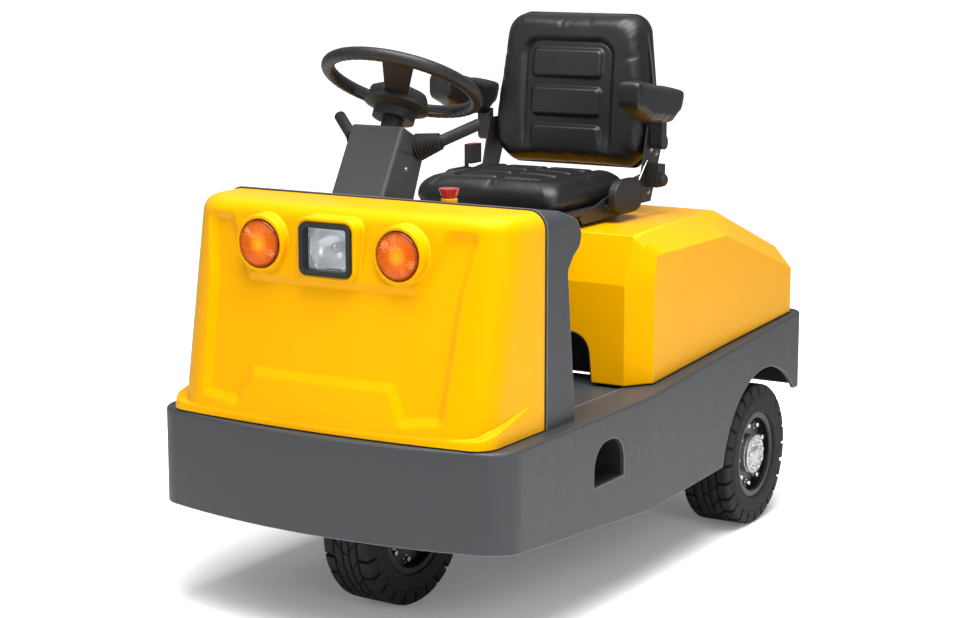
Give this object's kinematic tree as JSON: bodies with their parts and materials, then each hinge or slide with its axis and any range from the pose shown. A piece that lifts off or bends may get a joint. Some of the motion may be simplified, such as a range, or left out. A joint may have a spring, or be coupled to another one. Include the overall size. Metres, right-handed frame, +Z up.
{
  "type": "electric tow tractor",
  "caption": "Sit-on electric tow tractor with a steered front wheel, wrap-round skirt, hinged battery hood, folding armrests and a rear pin hitch.",
  "frame": {"origin": "on the floor, below the middle of the overall length and width", "axes": "+Z up, the front looks along -Y, the driver's left is +X"},
  "size_m": [1.05, 1.9798, 1.4912],
  "materials": {
    "grey_paint": "satin",
    "frame_paint": "satin",
    "yellow_paint": "gloss",
    "black_plastic": "matte",
    "rubber": "matte",
    "tyre": "matte",
    "rim_paint": "satin",
    "hub_steel": "brushed",
    "motor_iron": "matte",
    "battery_case": "matte",
    "amber_lens": "gloss",
    "clear_lens": "gloss",
    "red_plastic": "gloss",
    "leatherette": "satin"
  },
  "bodies": {
    "chassis": {"chassis_skirt": "grey_paint", "step_boxes": "frame_paint", "chassis_frame": "frame_paint", "turntable_ring": "hub_steel", "floor_plate": "grey_paint", "wheel_liners": "frame_paint", "rear_axle": "frame_paint", "traction_motor": "motor_iron", "axle_brackets": "frame_paint", "front_cowl": "yellow_paint", "cowl_gasket": "rubber", "amber_lenses": "amber_lens", "headlamp_frame": "black_plastic", "headlamp_lens": "clear_lens", "dash_shell": "grey_paint", "column_box": "grey_paint", "column_collar": "black_plastic", "lever_boots": "rubber", "lever_grips": "black_plastic", "stop_base": "yellow_paint", "stop_button": "red_plastic", "foot_pedals": "rubber", "hood_seal": "rubber", "hood_hinges": "frame_paint", "battery": "battery_case", "tow_hitch": "frame_paint", "tail_lamps": "red_plastic"},
    "steer_fork": {"steer_fork": "frame_paint", "front_axle_pin": "hub_steel"},
    "front_wheel": {"front_tyre": "tyre", "front_rim": "rim_paint", "front_hub": "hub_steel"},
    "rear_wheel_left": {"rear_tyre_left": "tyre", "rear_rim_left": "rim_paint", "rear_hub_left": "hub_steel"},
    "rear_wheel_right": {"rear_tyre_right": "tyre", "rear_rim_right": "rim_paint", "rear_hub_right": "hub_steel"},
    "steering_wheel": {"steering_wheel": "black_plastic", "wheel_boss": "black_plastic"},
    "battery_hood": {"battery_hood": "yellow_paint", "heel_recess": "black_plastic", "seat_base": "frame_paint", "seat_cushion": "leatherette", "backrest_pad": "leatherette", "backrest_shell": "black_plastic", "seat_brackets": "frame_paint", "hip_covers": "black_plastic", "belt_retractor": "black_plastic", "belt_buckle": "black_plastic"},
    "armrest_left": {"arm_pad_left": "leatherette", "arm_link_left": "frame_paint"},
    "armrest_right": {"arm_pad_right": "leatherette", "arm_link_right": "frame_paint"}
  },
  "joints": [
    {"name": "fork_steer", "type": "hinge", "parent": "chassis", "child": "steer_fork", "pos_m": [0, -0.603, 0.2075], "axis": [0, 0, 1], "range_deg": [-71, 79]},
    {"name": "front_wheel_spin", "type": "hinge", "parent": "steer_fork", "child": "front_wheel", "pos_m": [0, -0.603, 0.2075], "axis": [0.9976, -0.0698, 0], "continuous": true},
    {"name": "rear_wheel_left_spin", "type": "hinge", "parent": "chassis", "child": "rear_wheel_left", "pos_m": [0.4375, 0.562, 0.2075], "axis": [1, 0, 0], "continuous": true},
    {"name": "rear_wheel_right_spin", "type": "hinge", "parent": "chassis", "child": "rear_wheel_right", "pos_m": [-0.4375, 0.562, 0.2075], "axis": [1, 0, 0], "continuous": true},
    {"name": "steering_wheel_turn", "type": "hinge", "parent": "chassis", "child": "steering_wheel", "pos_m": [-0.078, -0.43034, 1.33775], "axis": [0, 0.4384, 0.8988], "range_deg": [-426, 474]},
    {"name": "hood_hinge", "type": "hinge", "parent": "chassis", "child": "battery_hood", "pos_m": [0, 0.879, 0.6], "axis": [-1, 0, 0], "range_deg": [0, 55]},
    {"name": "armrest_left_fold", "type": "hinge", "parent": "battery_hood", "child": "armrest_left", "pos_m": [0.304, 0.345, 1.135], "axis": [-1, 0, 0], "range_deg": [0, 95]},
    {"name": "armrest_right_fold", "type": "hinge", "parent": "battery_hood", "child": "armrest_right", "pos_m": [-0.304, 0.345, 1.135], "axis": [-1, 0, 0], "range_deg": [0, 95]}
  ],
  "couplings": [
    {"joint": "steering_wheel_turn", "follows": "fork_steer", "ratio": 6}
  ]
}
